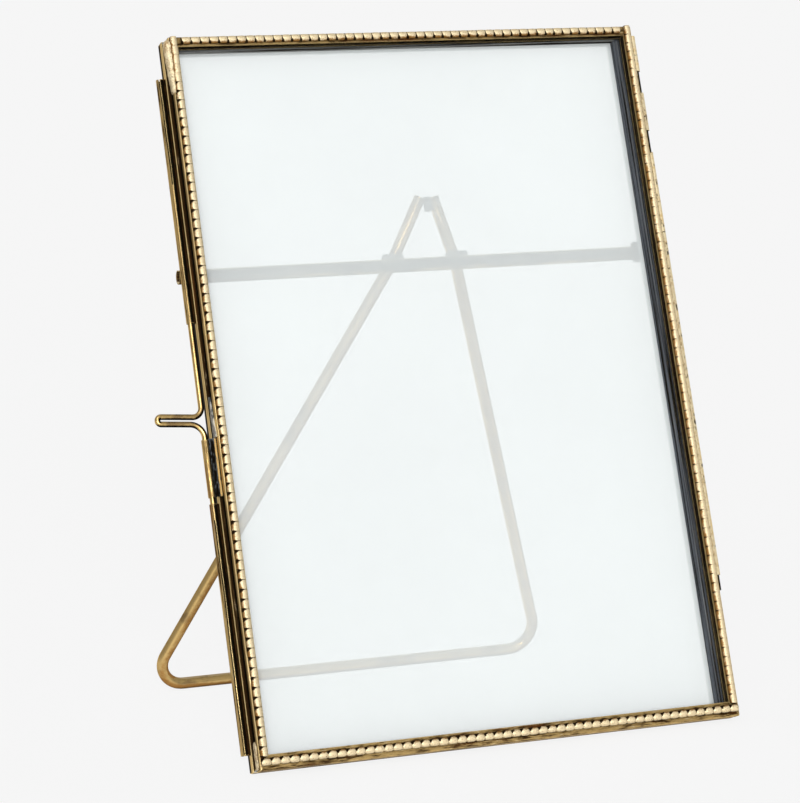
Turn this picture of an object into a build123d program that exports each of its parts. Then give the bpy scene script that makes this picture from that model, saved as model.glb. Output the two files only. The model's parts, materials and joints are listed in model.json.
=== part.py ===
from build123d import *
import math
import os

# Standing photo frame of two glazed brass leaves, hinged on its right and latched on its left.
# Millimetres. The leaves are drawn upright: X to the right, Y to the back, Z up along the leaves,
# with the rear bottom arris on the X axis. They then lean back onto the wire easel.

# The two leaves
frame_height = 160.3
front_width = 110.6
latch_step = 0.8
lean_deg = 23.3
foot_wear = 0.3
leaf_gap = 0.2

# Folded channel that holds each pane
sheet = 0.4
channel_depth = 2.7
front_side_flange = 2.1
front_top_flange = 2.2
front_bottom_flange = 3.3
rear_flange = 1.6
rear_top_flange = 2.9
rear_hinge_flange = 4.2
arris_round = 0.3
pane_clearance = 0.05

# Beaded half-round wire on the front leaf
bead_radius = 0.85
bead_waist_radius = 0.62
bead_pitch = 2.08
side_bead_margin = 0.3
top_bead_margin = 0.1
bottom_bead_margin = 1.0
side_bead_end_gap = 0.2
top_bead_end_gap = 0.9

# Sliding latch wire and its tubes, on the left
latch_wire_diameter = 1.25
running_clearance = 0.06
latch_tube_wall = 0.19
latch_stand_off = 0.22
latch_set_back = 0.7
lower_tube_foot = 3.8
lower_tube_length = 53.5
keeper_gap = 1.45
keeper_length = 12.5
upper_tube_drop = 8.6
latch_engagement = 3.5
latch_travel = 18.2
latch_top_hold = 31.0
loop_reach = 10.5
loop_spacing = 1.6
loop_rise = 0.75
loop_tip_bend_share = 0.49
loop_upper_bend = 2.0
loop_lower_bend = 3.1
loop_lift = 0.3
travel_clearance = 0.4

# Hinge, on the right: two tubes on each leaf, one pin through all four
hinge_pin_diameter = 1.2
hinge_tube_wall = 0.24
hinge_stand_off = 0.1
hinge_seam_depth = 1.5
hinge_top_drop = 1.7
top_knuckle_length = 8.5
open_gap = 5.3
second_knuckle_length = 9.0
third_knuckle_length = 19.0
knuckle_gap = 0.2
hinge_foot = 31.8
pin_tail = 3.4

# Crossbar behind the rear leaf: three tubes in line on one rod
crossbar_height = 108.1
crossbar_radius = 1.55
rod_radius = 1.1
crossbar_left_reach = 1.6
centre_tube_left = -20.7
centre_tube_length = 42.8
crossbar_right_end = 50.1
rod_right_tail = 2.8
rod_left_recess = 0.8

# Easel of one bent wire, which turns with the middle tube
easel_wire_diameter = 2.6
easel_foot_back = 62.7
easel_solder_gap = 0.15
fold_left_x = -7.5
fold_right_x = 7.8
foot_left_x = -61.3
foot_right_x = 35.5
foot_left_bend = 5.0
foot_right_bend = 6.0
apex_x = 1.8
apex_gap = 0.12
apex_length = 15.0
apex_stop_gap = 0.1
fold_bend_share = 0.9

# Solder
solder_fillet = 0.6
solder_clearance = 0.06
keeper_lug_depth = 0.6
keeper_lug_inset = 0.35
keeper_lug_clearance = 0.2
keeper_patch_length = 9.0
keeper_patch_thickness = 0.35
keeper_patch_depth = 2.1
keeper_patch_tip_depth = 0.4
corner_patch_length = 13.0
corner_patch_thickness = 1.1
corner_patch_taper = 0.35
small_patch_length = 6.0
saddle_radius = 1.9
saddle_half_length = 2.1
apex_solder_length = 3.2
crossbar_solder_rise = 0.7

# Places that follow from the sizes above
half_front = front_width / 2
rear_left = -half_front - latch_step
rear_right = half_front
rear_front_y = -channel_depth
front_back_y = rear_front_y - leaf_gap
front_face_y = front_back_y - channel_depth
latch_wire_radius = latch_wire_diameter / 2
latch_bore = latch_wire_radius + running_clearance
latch_tube_radius = latch_bore + latch_tube_wall
latch_x = rear_left - latch_stand_off - latch_tube_radius
latch_y = rear_front_y + latch_set_back
lower_tube_top = lower_tube_foot + lower_tube_length
keeper_foot = lower_tube_top + keeper_gap
keeper_top = keeper_foot + keeper_length
lower_arm_z = keeper_top + loop_lift + loop_lower_bend
upper_arm_z = lower_arm_z + loop_spacing
upper_tube_foot = upper_arm_z + loop_upper_bend + latch_travel + travel_clearance
upper_tube_top = frame_height - upper_tube_drop
hinge_pin_radius = hinge_pin_diameter / 2
hinge_bore = hinge_pin_radius + running_clearance
hinge_tube_radius = hinge_bore + hinge_tube_wall
hinge_x = half_front + hinge_stand_off + hinge_tube_radius
hinge_y = rear_front_y - leaf_gap / 2
top_knuckle_top = frame_height - hinge_top_drop
top_knuckle_foot = top_knuckle_top - top_knuckle_length
second_knuckle_top = top_knuckle_foot - open_gap
second_knuckle_foot = second_knuckle_top - second_knuckle_length
third_knuckle_top = second_knuckle_foot - open_gap
third_knuckle_foot = third_knuckle_top - third_knuckle_length
fourth_knuckle_top = third_knuckle_foot - knuckle_gap
easel_wire_radius = easel_wire_diameter / 2
centre_tube_right = centre_tube_left + centre_tube_length
lean = math.radians(lean_deg)


def box(low, high):
    """Box between two corners."""
    size = [b - a for a, b in zip(low, high)]
    middle = [(a + b) / 2 for a, b in zip(low, high)]
    return Pos(*middle) * Box(*size)


def upright_rod(x, y, low, high, radius):
    """Round rod along Z."""
    return Pos(x, y, (low + high) / 2) * Cylinder(radius, high - low)


def upright_tube(x, y, low, high, radius, bore):
    """Tube along Z."""
    return upright_rod(x, y, low, high, radius) - upright_rod(x, y, low, high, bore)


def level_rod(low, high, y, z, radius):
    """Round rod along X."""
    return Pos((low + high) / 2, y, z) * Rot(0, 90, 0) * Cylinder(radius, high - low)


def level_tube(low, high, y, z, radius, bore):
    """Tube along X."""
    return level_rod(low, high, y, z, radius) - level_rod(low, high, y, z, bore)


def bent_wire(points, bends, radius):
    """Round wire along straight runs joined by arcs. bends holds one radius for each inner point."""
    points = [Vector(*p) for p in points]
    edges = []
    start = points[0]
    for before, corner, after, bend in zip(points, points[1:], points[2:], bends):
        to_before = (before - corner).normalized()
        to_after = (after - corner).normalized()
        half = math.radians(to_before.get_angle(to_after)) / 2
        reach = bend / math.tan(half)
        arc_start = corner + to_before * reach
        arc_end = corner + to_after * reach
        inward = (to_before + to_after).normalized()
        arc_middle = corner + inward * (bend / math.sin(half) - bend)
        edges.append(Line(start, arc_start))
        edges.append(ThreePointArc(arc_start, arc_middle, arc_end))
        start = arc_end
    edges.append(Line(start, points[-1]))
    path = Wire(edges)
    section = Plane(origin=points[0], z_dir=points[1] - points[0]) * Circle(radius)
    return sweep(section, path=path)


def leaf_rails(left, right, front, flanges):
    """Four mitred channel rails of one leaf. flanges holds the left, right, top and bottom widths."""
    side_left, side_right, top, bottom = flanges
    back = front + channel_depth
    body = box((left, front, 0), (right, back, frame_height))
    body = fillet(body.edges(), arris_round)
    window_left = left + side_left
    window_right = right - side_right
    window_top = frame_height - top
    body -= box((window_left, front, bottom), (window_right, back, window_top))
    body -= box((left + sheet, front + sheet, sheet), (right - sheet, back - sheet, frame_height - sheet))
    outer = [(left, 0), (left, frame_height), (right, frame_height), (right, 0)]
    inner = [
        (window_left, bottom),
        (window_left, window_top),
        (window_right, window_top),
        (window_right, bottom),
    ]
    rails = []
    for i in range(4):
        j = (i + 1) % 4
        outline = Polyline(outer[i], outer[j], inner[j], inner[i], close=True)
        face = Plane.XZ * make_face(outline)
        wedge = Pos(0, back, 0) * extrude(face, channel_depth)
        rails.append(body & wedge)
    return rails


def pane(left, right, front):
    """Pane of glass that fills the channels of one leaf, with its clearance."""
    margin = sheet + pane_clearance
    low = (left + margin, front + margin, margin)
    high = (right - margin, front + channel_depth - margin, frame_height - margin)
    return box(low, high)


def bead_strip(length):
    """Half-round wire turned into beads, from the origin along Z, flat side on the XZ plane."""
    count = round(length / bead_pitch)
    pitch = length / count
    edges = [Line((0, 0), (bead_waist_radius, 0))]
    for i in range(count):
        low = (bead_waist_radius, i * pitch)
        middle = (bead_radius, (i + 0.5) * pitch)
        high = (bead_waist_radius, (i + 1) * pitch)
        edges.append(ThreePointArc(low, middle, high))
    edges.append(Line((bead_waist_radius, length), (0, length)))
    edges.append(Line((0, length), (0, 0)))
    profile = Plane.XZ * make_face(edges)
    return revolve(profile, Axis.Z, -180)


def bead_strips():
    """The four beaded wires: the bottom one across, two that stand on it, and the top one between them."""
    half_width = half_front - side_bead_margin
    centre_x = half_width - bead_radius
    bottom_z = bottom_bead_margin + bead_radius
    top_z = frame_height - top_bead_margin - bead_radius
    side_foot = bottom_z + bead_radius + side_bead_end_gap
    side = bead_strip(frame_height - side_foot)
    half_top = centre_x - bead_radius - top_bead_end_gap
    level = Rot(0, 90, 0)
    return {
        "left_bead_strip": Pos(-centre_x, front_face_y, side_foot) * side,
        "right_bead_strip": Pos(centre_x, front_face_y, side_foot) * side,
        "top_bead_strip": Pos(-half_top, front_face_y, top_z) * level * bead_strip(2 * half_top),
        "bottom_bead_strip": Pos(-half_width, front_face_y, bottom_z) * level * bead_strip(2 * half_width),
    }


def latch_wire():
    """Wire bent into a finger loop. Its ends slide in the tubes."""
    tip_x = latch_x - loop_reach + latch_wire_radius
    points = [
        (latch_x, latch_y, upper_tube_foot + latch_top_hold),
        (latch_x, latch_y, upper_arm_z),
        (tip_x, latch_y, upper_arm_z + loop_rise),
        (tip_x, latch_y, lower_arm_z + loop_rise),
        (latch_x, latch_y, lower_arm_z),
        (latch_x, latch_y, lower_tube_top - latch_engagement),
    ]
    tip_bend = loop_tip_bend_share * loop_spacing
    return bent_wire(points, [loop_upper_bend, tip_bend, tip_bend, loop_lower_bend], latch_wire_radius)


def latch_tube(low, high):
    return upright_tube(latch_x, latch_y, low, high, latch_tube_radius, latch_bore)


def latch_tube_seam(low, high):
    """Solder between the rear leaf's side and a latch tube."""
    seam = box((latch_x, latch_y - solder_fillet, low), (rear_left, latch_y + solder_fillet, high))
    return seam - upright_rod(latch_x, latch_y, low, high, latch_tube_radius)


def keeper_solder():
    """Lug that carries the keeper tube on the front leaf, and the tapering patch above it."""
    lug_left = latch_x + keeper_lug_inset
    lug_back = rear_front_y - keeper_lug_clearance
    lug_front = lug_back - keeper_lug_depth
    lug = box((lug_left, lug_front, keeper_foot), (-half_front, lug_back, keeper_top))
    outer_side = rear_left - keeper_lug_clearance
    lug += box((lug_left, lug_front, keeper_foot), (outer_side, latch_y, keeper_top))
    outline = Polyline(
        (lug_back, keeper_top),
        (lug_back, keeper_top + keeper_patch_length),
        (lug_back - keeper_patch_tip_depth, keeper_top + keeper_patch_length),
        (lug_back - keeper_patch_depth, keeper_top),
        close=True,
    )
    patch = extrude(Plane.YZ * make_face(outline), keeper_patch_thickness)
    lug += Pos(-half_front - keeper_patch_thickness, 0, 0) * patch
    return lug - upright_rod(latch_x, latch_y, keeper_foot, keeper_top, latch_tube_radius)


def hinge_tube(low, high):
    return upright_tube(hinge_x, hinge_y, low, high, hinge_tube_radius, hinge_bore)


def hinge_seam(front, back, low, high):
    """Solder between a leaf's side and one hinge tube."""
    seam = box((half_front, front, low), (hinge_x, back, high))
    return seam - upright_rod(hinge_x, hinge_y, low, high, hinge_tube_radius)


def corner_patches():
    """Solder on the front leaf's left side: a thick tapering patch at the top, a small one below."""
    side = -half_front
    top = frame_height - arris_round
    foot = frame_height - corner_patch_length
    outline = Polyline(
        (side, foot),
        (side, top),
        (side - corner_patch_thickness, top),
        (side - corner_patch_taper, foot),
        close=True,
    )
    front = front_face_y + arris_round
    depth = front_back_y - arris_round - front
    upper = extrude(Plane.XZ * make_face(outline), depth)
    upper = Pos(0, front_back_y - arris_round, 0) * upper
    lower_top = arris_round + small_patch_length
    lower = box((side - corner_patch_taper, front, arris_round), (side, front + depth, lower_top))
    return [upper, lower]


def normal_angle(point, pivot, reach, side):
    """Angle of the normal, from the pivot, to the line through point that passes at that reach."""
    across = point[0] - pivot[0]
    up = point[1] - pivot[1]
    return math.atan2(up, across) + side * math.acos(reach / math.hypot(across, up))


def easel_places():
    """Fold, foot and apex of the wire's centre line as (y, z), and its reach from the rod's axis."""
    reach = crossbar_radius + easel_wire_radius + easel_solder_gap
    pivot = (crossbar_radius, crossbar_height)
    # The foot lies on the floor, which is foot_wear above the leaves' sharp rear arris.
    foot_up = foot_wear + easel_wire_radius
    foot_y = easel_foot_back * math.cos(lean) - foot_up * math.sin(lean)
    foot_z = easel_foot_back * math.sin(lean) + foot_up * math.cos(lean)
    foot = (foot_y, foot_z)
    # The apex comes forward until it nearly meets the rear pane: that stops the easel's opening.
    apex_y = easel_wire_radius + apex_stop_gap - sheet - pane_clearance
    rise = math.hypot(apex_length, reach)
    apex = (apex_y, crossbar_height + math.sqrt(rise ** 2 - (apex_y - pivot[0]) ** 2))
    leg_normal = normal_angle(foot, pivot, reach, 1)
    apex_normal = normal_angle(apex, pivot, reach, -1)
    middle = (leg_normal + apex_normal) / 2
    corner_reach = reach / math.cos(leg_normal - middle)
    fold = (pivot[0] + corner_reach * math.cos(middle), pivot[1] + corner_reach * math.sin(middle))
    return fold, foot, apex, reach


def easel_wire(margin=0):
    """One wire: up both legs, round the back of the crossbar, its two ends side by side on top.

    A margin makes it thicker all round, to cut its seat out of the solder.
    """
    fold, foot, apex, reach = easel_places()
    half_end = easel_wire_radius + apex_gap / 2
    left_half = half_end * math.hypot(apex_x - fold_left_x, apex_length) / apex_length
    right_half = half_end * math.hypot(fold_right_x - apex_x, apex_length) / apex_length
    points = [
        (apex_x - left_half, *apex),
        (fold_left_x, *fold),
        (foot_left_x, *foot),
        (foot_right_x, *foot),
        (fold_right_x, *fold),
        (apex_x + right_half, *apex),
    ]
    fold_bend = fold_bend_share * reach
    bends = [fold_bend, foot_left_bend, foot_right_bend, fold_bend]
    return bent_wire(points, bends, easel_wire_radius + margin)


def easel_solder():
    """Solder where the legs cross the middle tube, and between the wire's two ends."""
    fold, foot, apex, reach = easel_places()
    crossbar = level_rod(centre_tube_left, centre_tube_right, crossbar_radius, crossbar_height,
                         crossbar_radius)
    seat = easel_wire(solder_clearance)
    lumps = []
    saddle_y = fold[0] - easel_wire_radius
    for fold_x in (fold_left_x, fold_right_x):
        start = fold_x - saddle_half_length
        end = fold_x + saddle_half_length
        saddle = level_rod(start, end, saddle_y, fold[1], saddle_radius)
        lumps.append(saddle - crossbar - seat)
    half_lens = easel_wire_radius / 2
    low = (apex_x - half_lens, apex[0] - half_lens, apex[1] - apex_solder_length)
    high = (apex_x + half_lens, apex[0] + half_lens, apex[1])
    lumps.append(box(low, high) - seat)
    return lumps


def crossbar_solder():
    """Solder that holds the crossbar to the rear leaf: the left tube, and the rod's right end."""
    half_rise = crossbar_radius + crossbar_solder_rise
    low_z = crossbar_height - half_rise
    high_z = crossbar_height + half_rise
    left = box((rear_left, 0, low_z), (rear_left + rear_flange, crossbar_solder_rise, high_z))
    left -= level_rod(rear_left, rear_left + rear_flange, crossbar_radius, crossbar_height, crossbar_radius)
    rod_end = crossbar_right_end + rod_right_tail
    right = box((crossbar_right_end, 0, low_z), (rod_end, crossbar_radius, high_z))
    right -= level_rod(crossbar_right_end, rod_end, crossbar_radius, crossbar_height, rod_radius)
    return [left, right]


def solids_of(shape):
    """Every solid in a shape or a list of shapes."""
    shapes = shape if isinstance(shape, list) else [shape]
    return [solid for one in shapes for solid in one.solids()]


def front_leaf():
    flanges = (front_side_flange, front_side_flange, front_top_flange, front_bottom_flange)
    left, top, right, bottom = leaf_rails(-half_front, half_front, front_face_y, flanges)
    seam_front = front_back_y - hinge_seam_depth
    nodes = {
        "front_left_channel": left,
        "front_top_channel": top,
        "front_right_channel": right,
        "front_bottom_channel": bottom,
        "front_glass": pane(-half_front, half_front, front_face_y),
        "keeper_tube": latch_tube(keeper_foot, keeper_top),
        "keeper_solder": keeper_solder(),
        "front_upper_hinge_tube": hinge_tube(second_knuckle_foot, second_knuckle_top),
        "front_lower_hinge_tube": hinge_tube(hinge_foot, fourth_knuckle_top),
        "front_hinge_solder": [
            hinge_seam(seam_front, front_back_y, second_knuckle_foot, second_knuckle_top),
            hinge_seam(seam_front, front_back_y, hinge_foot, fourth_knuckle_top),
        ],
        "front_corner_solder": corner_patches(),
    }
    nodes.update(bead_strips())
    return nodes


def rear_leaf():
    flanges = (rear_flange, rear_hinge_flange, rear_top_flange, rear_flange)
    left, top, right, bottom = leaf_rails(rear_left, rear_right, rear_front_y, flanges)
    seam_back = rear_front_y + hinge_seam_depth
    left_bar_end = centre_tube_left - knuckle_gap
    right_bar_start = centre_tube_right + knuckle_gap
    bar_bore = rod_radius + running_clearance
    bar = (crossbar_radius, crossbar_height)
    bar_left = rear_left - crossbar_left_reach
    rod_right = crossbar_right_end + rod_right_tail
    return {
        "rear_left_channel": left,
        "rear_top_channel": top,
        "rear_right_channel": right,
        "rear_bottom_channel": bottom,
        "rear_glass": pane(rear_left, rear_right, rear_front_y),
        "upper_latch_tube": latch_tube(upper_tube_foot, upper_tube_top),
        "lower_latch_tube": latch_tube(lower_tube_foot, lower_tube_top),
        "latch_tube_solder": [
            latch_tube_seam(upper_tube_foot, upper_tube_top),
            latch_tube_seam(lower_tube_foot, lower_tube_top),
        ],
        "rear_upper_hinge_tube": hinge_tube(top_knuckle_foot, top_knuckle_top),
        "rear_lower_hinge_tube": hinge_tube(third_knuckle_foot, third_knuckle_top),
        "rear_hinge_solder": [
            hinge_seam(rear_front_y, seam_back, top_knuckle_foot, top_knuckle_top),
            hinge_seam(rear_front_y, seam_back, third_knuckle_foot, third_knuckle_top),
        ],
        "hinge_pin": upright_rod(hinge_x, hinge_y, hinge_foot - pin_tail, top_knuckle_top,
                                 hinge_pin_radius),
        "crossbar_left_tube": level_tube(bar_left, left_bar_end, *bar, crossbar_radius, bar_bore),
        "crossbar_right_tube": level_tube(right_bar_start, crossbar_right_end, *bar, crossbar_radius,
                                          bar_bore),
        "crossbar_rod": level_rod(bar_left + rod_left_recess, rod_right, *bar, rod_radius),
        "crossbar_solder": crossbar_solder(),
    }


def easel():
    bar_bore = rod_radius + running_clearance
    return {
        "easel_wire": easel_wire(),
        "crossbar_centre_tube": level_tube(centre_tube_left, centre_tube_right, crossbar_radius,
                                           crossbar_height, crossbar_radius, bar_bore),
        "easel_solder": easel_solder(),
    }


def stand_up(nodes):
    """Lean the leaves back onto the easel, wear the rear arris flat, and centre the whole."""
    leaning = {name: Rot(-lean_deg, 0, 0) * Compound(solids_of(shape)) for name, shape in nodes.items()}
    for name in ("rear_left_channel", "rear_right_channel", "rear_bottom_channel"):
        span = leaning[name].bounding_box()
        low = (span.min.X - sheet, span.min.Y - sheet, span.min.Z - sheet)
        worn_away = box(low, (span.max.X + sheet, span.max.Y + sheet, foot_wear))
        leaning[name] = Compound(solids_of(leaning[name] - worn_away))
    reach = Compound(list(leaning.values())).bounding_box()
    place = Pos(-reach.center().X, -reach.center().Y, -foot_wear)
    return {name: place * shape for name, shape in leaning.items()}, place


upright_nodes = {**front_leaf(), **rear_leaf(), "latch_wire": latch_wire(), **easel()}
part_nodes, part_place = stand_up(upright_nodes)
os.makedirs("parts", exist_ok=True)
for name, shape in part_nodes.items():
    export_step(shape, f"parts/{name}.step")
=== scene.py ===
import json
import math

import bpy
import numpy as np
from mathutils import Euler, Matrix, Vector


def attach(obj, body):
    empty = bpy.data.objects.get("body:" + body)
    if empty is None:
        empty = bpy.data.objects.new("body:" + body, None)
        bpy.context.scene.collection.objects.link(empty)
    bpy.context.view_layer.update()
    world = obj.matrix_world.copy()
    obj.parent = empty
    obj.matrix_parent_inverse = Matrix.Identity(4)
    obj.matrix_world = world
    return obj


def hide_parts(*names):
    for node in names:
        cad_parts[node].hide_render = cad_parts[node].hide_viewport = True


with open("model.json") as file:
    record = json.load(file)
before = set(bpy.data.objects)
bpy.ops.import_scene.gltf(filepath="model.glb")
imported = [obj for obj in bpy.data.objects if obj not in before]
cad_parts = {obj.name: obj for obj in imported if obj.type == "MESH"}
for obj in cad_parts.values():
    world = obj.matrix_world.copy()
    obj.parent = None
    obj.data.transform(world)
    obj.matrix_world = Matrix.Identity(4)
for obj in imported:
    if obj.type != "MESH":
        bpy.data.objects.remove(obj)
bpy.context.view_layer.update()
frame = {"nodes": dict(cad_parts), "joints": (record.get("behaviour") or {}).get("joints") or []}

# Metres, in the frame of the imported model: x across to the hinge side, y to the back, z up.
# The leaves lean back. Most pieces are worked out upright, in leaf axes, which are the frame's
# axes turned about x until the leaves stand straight.
MM = 0.001
ACROSS, BACK, UP = range(3)
joints = {joint["name"]: joint for joint in frame["joints"]}
leaf_up = Vector(joints["front_leaf_hinge"]["axis"]).normalized()
lean = math.atan2(leaf_up.y, leaf_up.z)
to_frame = np.array([
    [1, 0, 0],
    [0, math.cos(lean), math.sin(lean)],
    [0, -math.sin(lean), math.cos(lean)],
])
chance = np.random.default_rng(7)


# Camera, at the place and angle of the photograph
camera_place = Vector((-0.2137, -0.5657, 0.19035))
camera_yaw = math.radians(20.10)
camera_pitch = math.radians(11.236)
camera_lens = 126.22
sensor_width = 36

camera_data = bpy.data.cameras.new("camera")
camera_data.sensor_fit = "HORIZONTAL"
camera_data.sensor_width = sensor_width
camera_data.lens = camera_lens
camera_data.clip_start = 0.01
camera_data.clip_end = 50
camera = bpy.data.objects.new("camera", camera_data)
camera.location = camera_place
camera.rotation_euler = Euler((math.pi / 2 - camera_pitch, 0, -camera_yaw), "XYZ")
bpy.context.scene.collection.objects.link(camera)
bpy.context.scene.camera = camera
bpy.context.scene.view_settings.view_transform = "Standard"


# Shader maths
class Value:
    """A number socket. Python's operators on values add Math nodes."""

    def __init__(self, finish, socket):
        self.finish = finish
        self.socket = socket

    def math(self, operation, *others):
        inputs = dict(enumerate((self, *others)))
        return self.finish.node("ShaderNodeMath", {"operation": operation}, inputs)

    def __add__(self, other):
        return self.math("ADD", other)

    def __sub__(self, other):
        return self.math("SUBTRACT", other)

    def __mul__(self, other):
        return self.math("MULTIPLY", other)

    __radd__ = __add__

    def __rsub__(self, other):
        return self.finish.node("ShaderNodeMath", {"operation": "SUBTRACT"}, {0: other, 1: self})

    def between(self, low, high):
        """0 below low, 1 above high, and a smooth step in between."""
        settings = {"interpolation_type": "SMOOTHSTEP"}
        inputs = {"Value": self, "From Min": low, "From Max": high}
        return self.finish.node("ShaderNodeMapRange", settings, inputs)

    def size(self):
        return self.math("ABSOLUTE")

    def most(self, other):
        return self.math("MAXIMUM", other)


class Finish:
    """One material: its nodes, and the shader that they end in."""

    def __init__(self, name):
        self.material = bpy.data.materials.new(name)
        self.material.use_nodes = True
        self.tree = self.material.node_tree
        self.tree.nodes.clear()
        self.output = self.tree.nodes.new("ShaderNodeOutputMaterial")

    def node(self, kind, settings=None, inputs=None, output=0):
        """Adds a node, sets it, links or fills its inputs, and gives back one output as a value."""
        made = self.tree.nodes.new(kind)
        for name, setting in (settings or {}).items():
            setattr(made, name, setting)
        for name, item in (inputs or {}).items():
            if isinstance(item, Value):
                self.tree.links.new(item.socket, made.inputs[name])
            else:
                made.inputs[name].default_value = item
        return Value(self, made.outputs[output])

    def mix(self, share, first, second):
        """Colour that goes from first to second as share goes from 0 to 1."""
        colours = [c if isinstance(c, Value) else (*c, 1) for c in (first, second)]
        inputs = {0: share, 6: colours[0], 7: colours[1]}
        return self.node("ShaderNodeMix", {"data_type": "RGBA"}, inputs, 2)

    def leaf_point(self):
        """Object coordinates in leaf axes, in metres."""
        place = self.node("ShaderNodeTexCoord", output="Object")
        return self.node("ShaderNodeMapping", {}, {"Vector": place, "Rotation": (lean, 0, 0)})

    def stretched(self, point, stretch):
        return self.node("ShaderNodeMapping", {}, {"Vector": point, "Scale": stretch})

    def noise(self, point, scale, detail, roughness):
        inputs = {"Vector": point, "Scale": scale, "Detail": detail, "Roughness": roughness}
        return self.node("ShaderNodeTexNoise", {}, inputs)

    def part_of(self, point, axis):
        return self.node("ShaderNodeSeparateXYZ", {}, {0: point}, axis)

    def attribute(self, name):
        return self.node("ShaderNodeAttribute", {"attribute_name": name}, {}, "Fac")

    def bump(self, height, distance, strength):
        inputs = {"Height": height, "Distance": distance, "Strength": strength}
        return self.node("ShaderNodeBump", {}, inputs)

    def surface(self, **inputs):
        """Ends the material in a Principled shader. Underscores in the names stand for spaces."""
        named = {name.replace("_", " "): item for name, item in inputs.items()}
        shader = self.node("ShaderNodeBsdfPrincipled", {}, named)
        self.tree.links.new(shader.socket, self.output.inputs["Surface"])
        return self.material


def srgb(red, green, blue):
    """Linear colour from 8-bit screen values."""
    shares = [channel / 255 for channel in (red, green, blue)]
    return tuple(c / 12.92 if c <= 0.04045 else ((c + 0.055) / 1.055) ** 2.4 for c in shares)


def leaf_box(node_name):
    """Lowest and highest corner of a CAD node in leaf axes."""
    mesh = frame["nodes"][node_name].data
    flat = np.zeros(len(mesh.vertices) * 3)
    mesh.vertices.foreach_get("co", flat)
    upright = flat.reshape(-1, 3) @ to_frame
    return upright.min(0), upright.max(0)


keeper_top = leaf_box("keeper_tube")[1][UP]
leaf_side = leaf_box("front_left_channel")[0][ACROSS]
front_leaf_face = leaf_box("front_left_channel")[0][BACK]
rear_leaf_face = leaf_box("rear_left_channel")[0][BACK]
rear_pane_middle = sum(corner[BACK] for corner in leaf_box("rear_glass")) / 2


# Colours of the metal, from the brightest wear and painted highlight to the deepest patina and painted
# shade
pale_gold = srgb(236, 216, 176)
rib_gold = srgb(230, 202, 142)
worn_gold = srgb(204, 172, 112)
brown_gold = srgb(146, 106, 56)
rust_brown = srgb(112, 66, 30)
dark_brown = srgb(48, 30, 12)
near_black = srgb(12, 8, 4)
plum_brown = srgb(84, 54, 48)
silver_grey = srgb(206, 206, 198)
steel_grey = srgb(100, 104, 112)
tin_grey = srgb(152, 152, 150)
lead_grey = srgb(84, 89, 93)
cream_solder = srgb(232, 217, 180)
cream_gold = srgb(226, 208, 170)
film_white = srgb(240, 244, 244)

# At a flat angle the metal mirrors this tint, and its patina hardly shines
edge_tint = (0.78, 0.62, 0.42, 1)
patina_gloss = 0.03
# How dull the cleanest bead still is, from 0 as bare metal to 1 as full patina
matt_share = 0.45

# How far a recess is dark with patina and painted shade, how far a sharp edge is rubbed and painted
# with a highlight, and the rib behind a leaf's face, rubbed and painted with a highlight
recess_reach = 0.9 * MM
edge_reach = 0.32 * MM
rib_width = 1.1 * MM
rib_fade = 0.1 * MM
rib_wander = 0.3 * MM
lee_fade = 0.35

# Noise scales, in cells to the metre
cloud_scale = 380
streak_scale = 2300
scratch_scale = 2600
speck_scale = 4800

# The keeper's solder turns from dark to silver within keeper_fade of the tube's top. It is bare
# brass next to the leaf, out to bare_whole, and the bare brass ends at bare_end.
keeper_fade = 0.3 * MM
bare_whole = 0.35 * MM
bare_end = 0.5 * MM

# The white film on the back flange begins in the middle of the rear pane and is whole after this
film_fade = 0.2 * MM
film_alpha = 0.44
film_unevenness = 0.04

# Share of Fresnel's mirror in the clear pane, and what a smear adds to it
mirror_share = 0.25
smear_share = 0.006


def recess(f):
    """1 in a corner or under an overhang, 0 in the open. The finishes darken it for patina in the
    hollows and for painted shade.
    """
    open_share = f.node("ShaderNodeAmbientOcclusion", {"samples": 3}, {"Distance": recess_reach}, "AO")
    return 1 - open_share.between(0.3, 0.98)


def sharp_edge(f):
    """1 on a sharp edge, 0 on a flat face: how far a rounded normal turns from the true one."""
    rounded = f.node("ShaderNodeBevel", {"samples": 3}, {"Radius": edge_reach})
    true = f.node("ShaderNodeNewGeometry", {}, {}, "Normal")
    along = f.node("ShaderNodeVectorMath", {"operation": "DOT_PRODUCT"}, {0: rounded, 1: true}, "Value")
    return (1 - along).between(0.01, 0.16)


def leaf_normal(f):
    """The object's own normal, in leaf axes."""
    normal = f.node("ShaderNodeTexCoord", output="Normal")
    settings = {"vector_type": "VECTOR"}
    return f.node("ShaderNodeMapping", settings, {"Vector": normal, "Rotation": (lean, 0, 0)})


def faces_towards(f, normal, direction):
    """Cosine between the normal and a direction in leaf axes."""
    settings = {"operation": "DOT_PRODUCT"}
    unit = tuple(Vector(direction).normalized())
    return f.node("ShaderNodeVectorMath", settings, {0: normal, 1: unit}, "Value")


def arris(f, normal):
    """1 on the rounded arrises of a leaf, where the normal lies between two of the leaf's axes."""
    x, y, z = (f.part_of(normal, axis).size() for axis in range(3))
    return (1 - x.most(y).most(z)).between(0.02, 0.16)


def metal_surface(f, colour, dulled, relief, gloss):
    """Ends a brass finish: bare metal where it isn't dulled, and dull where it is, which covers patina
    and, in some finishes, painted shade and a matte painted highlight.
    """
    return f.surface(
        Base_Color=colour,
        Metallic=1 - dulled * 0.9,
        Roughness=gloss + dulled * 0.26,
        Specular_IOR_Level=patina_gloss,
        Specular_Tint=edge_tint,
        Normal=relief,
    )


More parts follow.
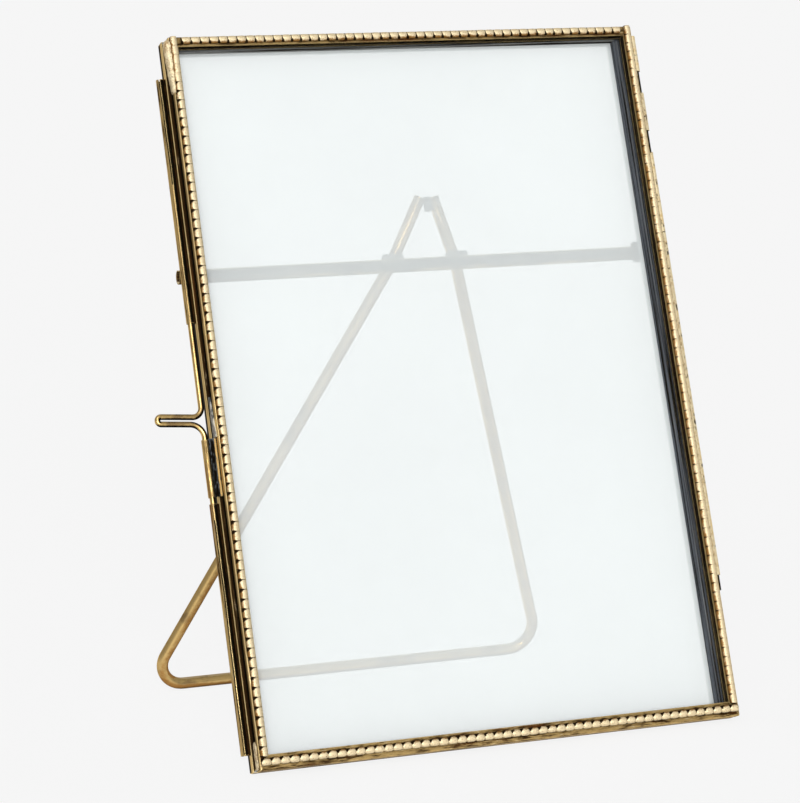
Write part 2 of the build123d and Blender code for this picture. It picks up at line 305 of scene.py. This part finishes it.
def aged_brass(name, stretch, darkness, side_shade=0.0, lee_shade=0.0, lee_start=-0.1,
               rib_front=None, top_highlight=0.0):
    """Antique brass. Clouds and fine long streaks of patina, bright arrises that are rubbed and painted
    with a highlight, and black recesses of patina and painted shade.

    side_shade is painted shade that blackens what faces sideways: the outer webs and the inside of a
    leaf's channels.
    lee_shade is painted shade that blackens what faces the hinge side, such as the inner half of a
    latch tube, from the cosine lee_start on.
    rib_front is where a leaf's front face lies, in leaf axes: next to it the webs keep a bright rib out
    of the painted side shade, rubbed bare and painted with a highlight.
    top_highlight is how much painted highlight, in the colour of cream solder, lies on what faces up.
    """
    f = Finish(name)
    point = f.leaf_point()
    normal = leaf_normal(f)
    streaked = f.stretched(point, stretch)
    clouds = f.noise(streaked, cloud_scale, 5, 0.62)
    streaks = f.noise(streaked, streak_scale, 4, 0.62)
    specks = f.noise(point, speck_scale, 3, 0.7)
    across = f.part_of(normal, ACROSS)
    # Painted shade on what faces sideways and on what faces the hinge side
    sideways = across.size().between(0.7, 0.95) * side_shade
    lee = (across + (clouds - 0.5) * 0.8).between(lee_start, lee_start + lee_fade) * lee_shade
    if rib_front is None:
        rib = sideways * 0
    else:
        behind_face = f.part_of(point, BACK) - rib_front + (clouds - 0.5) * rib_wander
        rib = behind_face.between(rib_width + rib_fade, rib_width - rib_fade) * sideways
    shaded = (sideways - rib).most(lee)
    dulled = (clouds * 0.45 + streaks * 0.55 + darkness).between(0.42, 0.60)
    # Painted highlight on the rounded arrises and the rib, and rubbing on sharp edges
    rounded = arris(f, normal) * (side_shade > 0)
    wear_and_highlight = (sharp_edge(f) * 0.8).most(rounded).most(rib * 0.85) * clouds.between(0.22, 0.42)
    deep = recess(f)
    # Painted highlight, cream, on what faces up
    upper = (f.part_of(normal, UP) + (clouds - 0.5) * 0.3).between(0.45, 0.65) * top_highlight
    colour = f.mix(dulled, worn_gold, dark_brown)
    colour = f.mix(streaks.between(0.38, 0.30) * 0.8, colour, pale_gold)
    colour = f.mix(clouds.between(0.54, 0.66) * 0.5, colour, rust_brown)
    colour = f.mix(specks.between(0.60, 0.72) * 0.75, colour, near_black)
    # Painted shade, nearly black
    colour = f.mix(shaded * clouds.between(0.84, 0.6), colour, near_black)
    # Patina and painted shade in the hollows
    colour = f.mix(deep * 0.92, colour, near_black)
    colour = f.mix(wear_and_highlight, colour, rib_gold)
    colour = f.mix(upper, colour, cream_solder)
    # Dull where there is patina and painted shade, and not on the rubbed edges with their painted
    # highlight
    bare = dulled.most(shaded).most(deep) * (1 - wear_and_highlight)
    relief = f.bump(streaks * 0.5 + specks * 0.5, 0.05 * MM, 0.6)
    return metal_surface(f, colour, bare.most(upper * 0.8), relief, 0.28)


def bead_brass():
    """Cream crowns, with painted shade: brown on the outer flanks and black in the notches.

    The piece's own attributes say where: notch is 1 in a notch, flank 1 on the side that is in the lee
    of the light, and both mark painted shade.
    """
    f = Finish("bead_brass")
    point = f.leaf_point()
    notch = f.attribute("notch")
    flank = f.attribute("flank")
    clouds = f.noise(point, 420, 4, 0.6)
    grain = f.noise(point, 3400, 3, 0.65)
    # Painted shade in the notches, made uneven by grime from the noise
    notch_shade_and_grime = (notch + (clouds - 0.5) * 0.5 + (grain - 0.5) * 0.5).between(0.34, 0.6)
    # stain is painted shade on the flank in the lee of the light, made uneven by stains from the noise
    stain = (flank * 0.9 + (clouds - 0.5) * 1.4 + (grain - 0.5) * 0.9).between(0.35, 0.8)
    colour = f.mix(stain, cream_gold, brown_gold)
    colour = f.mix(grain.between(0.54, 0.66) * 0.6, colour, rust_brown)
    colour = f.mix(notch_shade_and_grime, colour, dark_brown)
    colour = f.mix(notch_shade_and_grime.between(0.6, 1.0) * 0.65, colour, near_black)
    # Patina and painted shade in the hollows
    colour = f.mix(recess(f) * 0.6, colour, near_black)
    relief = f.bump(grain, 0.08 * MM, 0.8)
    return metal_surface(f, colour, notch_shade_and_grime.most(stain * 0.5).most(matt_share), relief, 0.4)


def solder(name, pale, stain, spots=0.56):
    """Soft solder, dull and uneven, with dark stains and pits. A lower spots value makes more pits."""
    f = Finish(name)
    point = f.leaf_point()
    clouds = f.noise(point, 520, 5, 0.65)
    grain = f.noise(point, 3000, 4, 0.7)
    blots = f.noise(point, 900, 3, 0.6)
    stained = (clouds * 0.6 + grain * 0.4).between(0.46, 0.62)
    colour = f.mix(stained * 0.8, pale, stain)
    colour = f.mix(grain.between(0.58, 0.68) * 0.7, colour, dark_brown)
    colour = f.mix(blots.between(spots, spots + 0.06) * 0.9, colour, near_black)
    # Patina and painted shade in the hollows
    colour = f.mix(recess(f) * 0.8, colour, near_black)
    relief = f.bump(clouds * 0.4 + grain * 0.6, 0.14 * MM, 1.0)
    return metal_surface(f, colour, stained * 0.45 + 0.55, relief, 0.4)


def keeper_finish():
    """Silver-grey solder above the keeper tube, and nearly black where it carries the tube."""
    f = Finish("keeper_solder")
    point = f.leaf_point()
    grain = f.noise(f.stretched(point, (1, 1, 0.25)), 2400, 4, 0.65)
    above = f.part_of(point, UP).between(keeper_top - keeper_fade, keeper_top + keeper_fade)
    near_leaf = f.part_of(point, ACROSS).between(leaf_side - bare_end, leaf_side - bare_whole)
    silver = f.mix(grain.between(0.40, 0.62), silver_grey, lead_grey)
    dark = f.mix(grain.between(0.50, 0.66), near_black, lead_grey)
    dark = f.mix(near_leaf * grain.between(0.62, 0.52), dark, worn_gold)
    colour = f.mix(above, dark, silver)
    relief = f.bump(grain, 0.06 * MM, 0.7)
    return metal_surface(f, colour, 1 - (above * 0.3).most(near_leaf * 0.6), relief, 0.36)


def rear_channel_brass(name, stretch, outward, face):
    """The rear leaf's rails: black brass outside, and scratched grey behind the front pane.

    The back flange, behind the rear pane, carries the same white film as the pane.
    outward points away from the window, in leaf axes.
    """
    f = Finish(name)
    point = f.leaf_point()
    normal = leaf_normal(f)
    streaked = f.stretched(point, stretch)
    clouds = f.noise(streaked, cloud_scale, 5, 0.6)
    scratches = f.noise(streaked, scratch_scale, 3, 0.55)
    specks = f.noise(point, speck_scale, 3, 0.7)
    outside = faces_towards(f, normal, outward).most(f.part_of(normal, BACK)).between(0.3, 0.6)
    dulled = (clouds * 0.5 + scratches * 0.5).between(0.36, 0.54)
    brass = f.mix(dulled, worn_gold, dark_brown)
    brass = f.mix(specks.between(0.58, 0.70) * 0.8, brass, near_black)
    # Painted highlight and rubbing on the arrises
    brass = f.mix(arris(f, normal) * 0.85, brass, pale_gold)
    grey = f.mix(scratches.between(0.46, 0.62), face, near_black)
    grey = f.mix(scratches.between(0.40, 0.34) * 0.7, grey, tin_grey)
    grey = f.mix(specks.between(0.64, 0.72) * 0.5, grey, near_black)
    behind_pane = f.part_of(point, BACK).between(rear_pane_middle, rear_pane_middle + film_fade)
    # Patina and painted shade in the hollows
    grey = f.mix(recess(f) * (1 - behind_pane) * 0.6, grey, near_black)
    grey = f.mix(behind_pane, grey, film_white)
    colour = f.mix(outside, grey, brass)
    relief = f.bump(scratches, 0.04 * MM, 0.5)
    return metal_surface(f, colour, dulled.most(1 - outside), relief, 0.34)


def wire_brass(name, pale, dark, along, reach):
    """Drawn wire: bare on the outer side, with a painted highlight on what faces up, and painted shade,
    dark, underneath and where it faces the leaf.

    reach is how far round the painted shade goes: the least cosine between the normal and the hinge
    side.
    """
    f = Finish(name)
    point = f.leaf_point()
    normal = leaf_normal(f)
    clouds = f.noise(point, 160, 4, 0.55)
    drawn = f.noise(f.stretched(point, along), 1600, 3, 0.6)
    specks = f.noise(point, 4200, 3, 0.7)
    uneven = (clouds - 0.5) * 0.5 + (drawn - 0.5) * 0.5
    # Painted shade where the wire faces the leaf and underneath
    inner = (f.part_of(normal, ACROSS) + uneven * 0.5).between(reach, reach + 0.12)
    under = (uneven - f.part_of(normal, UP)).between(0.3, 0.7)
    # Painted highlight on what faces up
    upper = (f.part_of(normal, UP) + uneven).between(0.45, 0.85)
    dulled = inner.most(under)
    colour = f.mix(upper * 0.7, pale, pale_gold)
    colour = f.mix(clouds.between(0.50, 0.64) * 0.5, colour, plum_brown)
    colour = f.mix(dulled, colour, dark)
    colour = f.mix(specks.between(0.62, 0.74) * 0.5, colour, near_black)
    # Patina and painted shade in the hollows
    colour = f.mix(recess(f) * 0.6, colour, near_black)
    relief = f.bump(drawn * 0.6 + specks * 0.4, 0.02 * MM, 0.4)
    return metal_surface(f, colour, dulled, relief, 0.3)


def clear_glass():
    """Polished glass: light passes, and the surface mirrors more the flatter it is seen."""
    f = Finish("clear_glass")
    through = f.node("ShaderNodeBsdfTransparent", {}, {"Color": (0.98, 0.99, 0.99, 1)})
    bright = {"Base Color": (0.96, 0.97, 0.97, 1), "Metallic": 1.0, "Roughness": 0.03}
    mirror = f.node("ShaderNodeBsdfPrincipled", {}, bright)
    gloss = f.node("ShaderNodeFresnel", {}, {"IOR": 1.45})
    smears = f.noise(f.leaf_point(), 40, 3, 0.5)
    share = gloss * mirror_share + smears.between(0.5, 0.8) * smear_share
    glass = f.node("ShaderNodeMixShader", {}, {0: share, 1: through, 2: mirror})
    f.tree.links.new(glass.socket, f.output.inputs["Surface"])
    return f.material


def hazy_glass():
    """Glass with a milky film on both faces, so that what lies behind it shows faintly."""
    f = Finish("hazy_glass")
    film = f.noise(f.leaf_point(), 22, 4, 0.5)
    alpha = film_alpha + (film - 0.5) * film_unevenness
    colour = f.mix(film.between(0.3, 0.7), srgb(232, 233, 233), srgb(235, 236, 236))
    return f.surface(Base_Color=colour, Roughness=0.3, Alpha=alpha, Specular_IOR_Level=patina_gloss)


finishes = {
    "side_rail": aged_brass(
        "side_rail_brass", (1, 1, 0.05), 0.04, side_shade=1.0, rib_front=front_leaf_face),
    "step_rail": aged_brass(
        "step_rail_brass", (1, 1, 0.05), 0.17, side_shade=1.0, rib_front=rear_leaf_face),
    "end_rail": aged_brass("end_rail_brass", (0.16, 1, 1), 0.02),
    # The top and bottom rails take the lighter tin_grey where the side rail takes steel_grey: painted
    # light that offsets the front leaf's shadow on them
    "rear_side_rail": rear_channel_brass("rear_side_rail_brass", (1, 1, 0.008), (1, 0, 0), steel_grey),
    "rear_top_rail": rear_channel_brass("rear_top_rail_brass", (0.008, 1, 1), (0, 0, 1), tin_grey),
    "rear_bottom_rail": rear_channel_brass(
        "rear_bottom_rail_brass", (0.02, 1, 1), (0, 0, -1), tin_grey),
    "bead": bead_brass(),
    "latch_tube": aged_brass("latch_tube_brass", (1, 1, 0.08), 0.0, lee_shade=1.0, lee_start=-0.5),
    "keeper_tube": aged_brass("keeper_tube_brass", (1, 1, 0.08), -0.07, lee_shade=0.6),
    "crossbar_tube": aged_brass("crossbar_tube_brass", (0.08, 1, 1), 0.06, top_highlight=0.9),
    "hinge_tube": solder("hinge_tube_solder", cream_solder, worn_gold, 0.58),
    "latch_wire": wire_brass("latch_wire_brass", worn_gold, near_black, (1, 1, 0.3), 0.02),
    "dark_wire": wire_brass("dark_wire_brass", brown_gold, near_black, (1, 1, 0.3), -0.2),
    "easel_wire": wire_brass("easel_wire_brass", worn_gold, brown_gold, (0.4, 1, 0.4), 0.4),
    "solder": solder("solder_pale_gold", cream_solder, brown_gold, 0.62),
    "grey_solder": solder("solder_grey", tin_grey, lead_grey),
    "dark_solder": solder("solder_dark", dark_brown, near_black),
    "keeper": keeper_finish(),
    "clear_glass": clear_glass(),
    "hazy_glass": hazy_glass(),
}

node_finish = {
    "front_left_channel": "side_rail",
    "front_right_channel": "side_rail",
    "front_top_channel": "end_rail",
    "front_bottom_channel": "end_rail",
    "rear_left_channel": "step_rail",
    "rear_right_channel": "rear_side_rail",
    "rear_top_channel": "rear_top_rail",
    "rear_bottom_channel": "rear_bottom_rail",
    "front_glass": "clear_glass",
    "rear_glass": "hazy_glass",
    "latch_wire": "latch_wire",
    "hinge_pin": "dark_wire",
    "crossbar_rod": "dark_wire",
    "easel_wire": "easel_wire",
    "keeper_solder": "keeper",
}


def dress(thing, finish):
    """Gives an object one finish, in its material slots."""
    thing.data.materials.clear()
    thing.data.materials.append(finishes[finish])


for node_name, finish_name in node_finish.items():
    dress(frame["nodes"][node_name], finish_name)


# Shapes
def ring_quads(rows, columns):
    """Faces between the rows of a grid of points, where each row closes to a ring."""
    ring = np.arange(columns)
    following = np.roll(ring, -1)
    start = np.arange(rows - 1)[:, None] * columns
    corners = (ring, following, following + columns, ring + columns)
    return np.stack([start + corner for corner in corners], -1).reshape(-1, 4)


def grid_faces(rows, columns, first):
    """Faces of a grid whose rows are rings, with a fan on each end. first numbers its first point."""
    ring = np.arange(columns)
    following = np.roll(ring, -1)
    last_row = (rows - 1) * columns
    first_tip = np.full(columns, rows * columns)
    first_fan = np.stack([following, ring, first_tip], -1)
    last_fan = np.stack([last_row + ring, last_row + following, first_tip + 1], -1)
    return [(part + first).tolist() for part in (ring_quads(rows, columns), first_fan, last_fan)]


def surface_piece(name, grids, body, finish, node_name, attributes=None):
    """Mesh of closed grids of points, rows by columns, in leaf axes. It stands for one CAD node."""
    places = []
    faces = []
    for grid in grids:
        first = sum(len(one) for one in places)
        for part in grid_faces(*grid.shape[:2], first):
            faces.extend(part)
        places.append(np.vstack([grid.reshape(-1, 3), grid[0].mean(0), grid[-1].mean(0)]))
    mesh = bpy.data.meshes.new(name)
    mesh.from_pydata((np.vstack(places) @ to_frame.T).tolist(), [], faces)
    for key, values in (attributes or {}).items():
        layer = mesh.attributes.new(key, "FLOAT", "POINT")
        ends = [values[0].mean(), values[-1].mean()]
        layer.data.foreach_set("value", np.append(values.ravel(), ends).astype(np.float32))
    mesh.shade_smooth()
    mesh.update()
    made = bpy.data.objects.new(name, mesh)
    bpy.context.scene.collection.objects.link(made)
    dress(made, finish)
    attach(made, body)
    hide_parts(node_name)


# Beaded wires on the front leaf
bead_pitch = 2.08 * MM
bead_station_shares = np.array([0, 0.06, 0.16, 0.32, 0.68, 0.84, 0.94])
steps_round = 8
bead_size_spread = 0.06
section_power = 0.8
# Shape of the painted shade in the notches
notch_least_width = 0.06
notch_depth_at_line = 1.2
lee_bias = 0.15
thin_side_share = 2.5


def bead_wire(node_name, along, waist_share, squareness, lee, notch_reach, notch_depth, worn_end=0.0):
    """Half-round wire in beads.

    The radius is the waist plus the rest times 1 - |2s - 1| to the power squareness, with s going
    from 0 to 1 along each bead, and each bead's own size a few hundredths smaller than the largest.
    The section is a half circle in front of a flat back. along is the leaf axis that the wire follows,
    ACROSS or UP. A notch is a black V of painted shade: notch_reach of a bead wide on the side lee, the
    side in the lee of the light (-1 or 1 on the other leaf axis), and narrow on the opposite one, where
    it is only notch_depth dark.
    It is thin_side_share times as narrow on one side of the line between two beads, the left or
    the upper one, as on the other.
    Over the last worn_end metres the notches are rubbed clean.
    """
    low, high = leaf_box(node_name)
    length = high[along] - low[along]
    across = ACROSS + UP - along
    count = round(length / bead_pitch)
    radius = (high[across] - low[across]) / 2
    place = np.append((np.arange(count)[:, None] + bead_station_shares).ravel(), count)
    number = np.minimum(place.astype(int), count - 1)
    own = 1 - bead_size_spread * chance.random(count)
    crown = 1 - np.abs(2 * (place - number) - 1) ** squareness
    reach = radius * (waist_share + (own[number] - waist_share) * crown)
    angles = np.linspace(0, math.pi, steps_round)
    cosines = np.sign(np.cos(angles)) * np.abs(np.cos(angles)) ** section_power
    sines = np.sin(angles) ** section_power
    points = np.zeros((len(place), steps_round, 3))
    points[:, :, along] = low[along] + (place / count * length)[:, None]
    points[:, :, across] = (low[across] + high[across]) / 2 + cosines[None, :] * reach[:, None]
    points[:, :, BACK] = high[BACK] - sines[None, :] * reach[:, None]
    # flank marks painted shade on the side in the lee of the light
    flank = np.repeat(np.clip(lee * cosines, 0, 1)[None, :], len(place), 0)
    after = place - number
    before = 1 - after
    dark_side, thin_side = (after, before) if along == ACROSS else (before, after)
    # The notch is painted shade between two beads, wider on the lee side
    from_notch = np.minimum(dark_side, thin_side * thin_side_share)[:, None]
    lee_share = np.clip(lee * cosines + lee_bias, 0, 1)[None, :]
    width = notch_least_width + notch_reach * lee_share
    depth = notch_depth + (1 - notch_depth) * lee_share
    notch = np.clip(notch_depth_at_line - from_notch / width, 0, 1) * depth
    if worn_end:
        from_end = (count - place) / count * length
        notch = notch * np.clip((from_end - worn_end) / bead_pitch, 0, 1)[:, None]
    if along == UP:
        points, notch, flank = (grid[:, ::-1] for grid in (points, notch, flank))
    marks = {"notch": notch, "flank": flank}
    name = node_name.replace("strip", "wire")
    surface_piece(name, [points], "front_leaf", "bead", node_name, marks)


bead_wire("left_bead_strip", UP, waist_share=0.82, squareness=6, lee=-1,
          notch_reach=0.36, notch_depth=0.7, worn_end=9.0 * MM)
bead_wire("right_bead_strip", UP, waist_share=0.86, squareness=4, lee=-1,
          notch_reach=0.1, notch_depth=0.15)
bead_wire("top_bead_strip", ACROSS, waist_share=0.76, squareness=5, lee=-1,
          notch_reach=0.24, notch_depth=0.95)
bead_wire("bottom_bead_strip", ACROSS, waist_share=0.74, squareness=4.5, lee=1,
          notch_reach=0.48, notch_depth=0.5)


# Tubes, each rolled from sheet with a seam left open
tube_wall = 0.2 * MM
seam_half_angle = 0.16
steps_along_tube = 40
steps_round_tube = 34
tube_sharp_angle = math.radians(40)
# Where each seam is, as the angle from the hinge side towards the back
latch_seam = -0.64 * math.pi
hinge_seam = math.pi
keeper_seam = -0.42 * math.pi
crossbar_seam = -0.3 * math.pi


def rolled_tube(node_name, body, along, seam_angle, finish):
    """Tube rolled from a strip of sheet.

    The section runs round the outside from one lip of the seam to the other, and back round the
    inside. The seam's angle wanders by a few degrees along the tube, as a sum of two sines.
    """
    low, high = leaf_box(node_name)
    across = ACROSS + UP - along
    outer = (high[BACK] - low[BACK]) / 2
    run = np.linspace(0, 1, steps_along_tube)
    wander = 0.05 * np.sin(9 * run + 2) + 0.03 * np.sin(23 * run)
    turn = np.linspace(seam_half_angle, 2 * math.pi - seam_half_angle, steps_round_tube)
    angle = np.concatenate([turn, turn[::-1]])
    radius = np.repeat([outer, outer - tube_wall], steps_round_tube)
    place = seam_angle + wander[:, None] + angle[None, :]
    points = np.zeros((steps_along_tube, len(angle), 3))
    points[:, :, along] = (low[along] + run * (high[along] - low[along]))[:, None]
    points[:, :, across] = (low[across] + high[across]) / 2 + np.cos(place) * radius
    points[:, :, BACK] = (low[BACK] + high[BACK]) / 2 + np.sin(place) * radius
    tube_mesh(node_name, points, body, finish, along)


def tube_mesh(node_name, points, body, finish, along):
    """Mesh of an open-seamed tube: its ring of points carried along, with faces across each end."""
    if along == ACROSS:
        points = points[:, ::-1]
    rows, columns = points.shape[:2]
    outside = np.arange(columns // 2 - 1)
    inside = columns - 1 - outside
    first_end = np.stack([outside + 1, outside, inside, inside - 1], -1)
    last_end = np.stack([outside, outside + 1, inside - 1, inside], -1) + (rows - 1) * columns
    faces = ring_quads(rows, columns).tolist() + first_end.tolist() + last_end.tolist()
    name = node_name + "_rolled"
    mesh = bpy.data.meshes.new(name)
    mesh.from_pydata((points.reshape(-1, 3) @ to_frame.T).tolist(), [], faces)
    mesh.shade_smooth()
    mesh.set_sharp_from_angle(angle=tube_sharp_angle)
    mesh.update()
    made = bpy.data.objects.new(name, mesh)
    bpy.context.scene.collection.objects.link(made)
    dress(made, finish)
    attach(made, body)
    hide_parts(node_name)


for tube_name in ("upper_latch_tube", "lower_latch_tube"):
    rolled_tube(tube_name, "rear_leaf", UP, latch_seam, "latch_tube")
for tube_name in ("rear_upper_hinge_tube", "rear_lower_hinge_tube"):
    rolled_tube(tube_name, "rear_leaf", UP, hinge_seam, "hinge_tube")
for tube_name in ("front_upper_hinge_tube", "front_lower_hinge_tube"):
    rolled_tube(tube_name, "front_leaf", UP, hinge_seam, "hinge_tube")
rolled_tube("keeper_tube", "front_leaf", UP, keeper_seam, "keeper_tube")
for tube_name in ("crossbar_left_tube", "crossbar_right_tube"):
    rolled_tube(tube_name, "rear_leaf", ACROSS, crossbar_seam, "crossbar_tube")
rolled_tube("crossbar_centre_tube", "easel", ACROSS, crossbar_seam, "crossbar_tube")


# Solder
seam_overlap = 0.15 * MM
solder_step = 0.3 * MM
lump_end_rows = 12
lump_columns = 20
lump_end_share = 0.002
lump_dents = 0.26


def solder_lump(low, high, taper=0.0, depth_of_dents=lump_dents):
    """Grid of points of one lump of solder that fills a box in leaf axes, with its length along z.

    Each section is a superellipse of power 4. Its size is (1 - |2s - 1|^10)^0.5 with s going from 0 to
    1 along the lump, and a sum of four sine waves of 1 to 4 mm shrinks it by up to depth_of_dents, so
    it never leaves the box.
    taper takes that share off its width at the lower end, on the side away from the leaf.
    """
    rows = lump_end_rows + int((high[UP] - low[UP]) / solder_step)
    s = np.linspace(lump_end_share, 1 - lump_end_share, rows)[:, None]
    turn = np.linspace(0, 2 * math.pi, lump_columns, endpoint=False)[None, :]
    across = np.sign(np.cos(turn)) * np.abs(np.cos(turn)) ** 0.5
    depth = np.sign(np.sin(turn)) * np.abs(np.sin(turn)) ** 0.5
    size = (1 - np.abs(2 * s - 1) ** 10) ** 0.5
    z = (low[UP] + s * (high[UP] - low[UP])) / MM
    shift = chance.random(4) * 6
    waves = (
        np.sin(1.6 * z + shift[0])
        + np.sin(3.7 * z + 2 * turn + shift[1])
        + np.sin(6.1 * z - 3 * turn + shift[2])
        + np.sin(2.6 * z + 5 * turn + shift[3])
    )
    shrink = size * (1 - depth_of_dents * (waves + 4) / 8)
    wide = high[ACROSS] - low[ACROSS]
    x = (low[ACROSS] + high[ACROSS]) / 2 + across * shrink * wide / 2
    x = high[ACROSS] - (high[ACROSS] - x) * (1 - taper * (1 - s))
    y = (low[BACK] + high[BACK]) / 2 + depth * shrink * (high[BACK] - low[BACK]) / 2
    return np.stack([x, y, z * MM + 0 * turn], -1)


def seam_lumps(node_name, body, tubes, in_front):
    """Solder along a hinge's tubes, standing proud of them on one side of the leaf."""
    seam_low, seam_high = leaf_box(node_name)
    grids = []
    for tube in tubes:
        low, high = leaf_box(tube)
        start = seam_low.copy()
        end = seam_high.copy()
        start[UP] = low[UP]
        end[UP] = high[UP]
        if in_front:
            end[BACK] = low[BACK] + seam_overlap
        else:
            start[BACK] = high[BACK] - seam_overlap
        grids.append(solder_lump(start, end))
    surface_piece(node_name + "_lumps", grids, body, "solder", node_name)


front_tubes = ("front_upper_hinge_tube", "front_lower_hinge_tube")
rear_tubes = ("rear_upper_hinge_tube", "rear_lower_hinge_tube")
seam_lumps("front_hinge_solder", "front_leaf", front_tubes, in_front=True)
seam_lumps("rear_hinge_solder", "rear_leaf", rear_tubes, in_front=False)

corner_patch_length = 13.0 * MM
small_patch_length = 6.0 * MM
small_patch_share = 0.35
patch_over_face = 0.7 * MM
patch_over_beads = 1.75 * MM
patch_dents = 0.12
patch_taper = 0.3
corner_low, corner_high = leaf_box("front_corner_solder")
patch_wide = corner_high[ACROSS] - corner_low[ACROSS]
upper_low = corner_low.copy()
upper_low[BACK] -= patch_over_face
upper_low[UP] = corner_high[UP] - corner_patch_length
upper_high = corner_high + np.array([patch_over_beads, 0, 0])
lower_low = corner_low.copy()
lower_low[ACROSS] = corner_high[ACROSS] - patch_wide * small_patch_share
lower_high = corner_high.copy()
lower_high[UP] = corner_low[UP] + small_patch_length
corner_grids = [
    solder_lump(upper_low, upper_high, patch_taper, patch_dents),
    solder_lump(lower_low, lower_high),
]
corner_name = "front_corner_solder"
surface_piece(corner_name + "_lumps", corner_grids, "front_leaf", "solder", corner_name)

dress(frame["nodes"]["latch_tube_solder"], "dark_solder")
for node_name in ("crossbar_solder", "easel_solder"):
    dress(frame["nodes"][node_name], "grey_solder")


# Studio: an even floor, light from beside the camera and from above, and a pale surround
floor_half = 8.0
floor_colour = srgb(247, 247, 247)
# How much of its own shading the floor shows to the camera, the rest being even
shadow_share = 0.08

floor_finish = Finish("studio_floor")
lit = floor_finish.node("ShaderNodeBsdfDiffuse", {}, {"Color": (*floor_colour, 1)})
even = floor_finish.node("ShaderNodeEmission", {}, {"Color": (*floor_colour, 1), "Strength": 1.0})
seen = floor_finish.node("ShaderNodeLightPath", {}, {}, "Is Camera Ray")
mirrored = floor_finish.node("ShaderNodeLightPath", {}, {}, "Is Glossy Ray")
passed = floor_finish.node("ShaderNodeLightPath", {}, {}, "Is Transmission Ray")
evenness = seen.most(mirrored).most(passed) * (1 - shadow_share)
floor_shader = floor_finish.node("ShaderNodeMixShader", {}, {0: evenness, 1: lit, 2: even})
floor_finish.tree.links.new(floor_shader.socket, floor_finish.output.inputs["Surface"])
floor_mesh = bpy.data.meshes.new("floor")
floor_corners = [(x * floor_half, y * floor_half, 0) for x, y in ((-1, -1), (1, -1), (1, 1), (-1, 1))]
floor_mesh.from_pydata(floor_corners, [], [(0, 1, 2, 3)])
floor = bpy.data.objects.new("floor", floor_mesh)
floor.data.materials.append(floor_finish.material)
bpy.context.scene.collection.objects.link(floor)


def sun(name, direction, strength, softness):
    """Lamp that lights everything evenly. direction points from the object to the lamp."""
    data = bpy.data.lights.new(name, "SUN")
    data.energy = strength
    data.angle = math.radians(softness)
    lamp = bpy.data.objects.new(name, data)
    lamp.rotation_euler = Vector(direction).to_track_quat("Z", "Y").to_euler()
    bpy.context.scene.collection.objects.link(lamp)


sun("window_light", (-0.3, -1.0, 0.4), 2.3, 30)
sun("fill_light", (-0.5, -0.6, 1.0), 0.6, 30)

# Strength of the surround as a light, and as the camera sees it
surround_light = 0.45
surround_seen = 0.93

world = bpy.data.worlds.new("studio")
bpy.context.scene.world = world
world.use_nodes = True
surround = world.node_tree.nodes["Background"]
surround.inputs["Color"].default_value = (1, 1, 1, 1)
ray = world.node_tree.nodes.new("ShaderNodeLightPath")
brightness = world.node_tree.nodes.new("ShaderNodeMapRange")
brightness.inputs["To Min"].default_value = surround_light
brightness.inputs["To Max"].default_value = surround_seen
world.node_tree.links.new(ray.outputs["Is Camera Ray"], brightness.inputs["Value"])
world.node_tree.links.new(brightness.outputs["Result"], surround.inputs["Strength"])
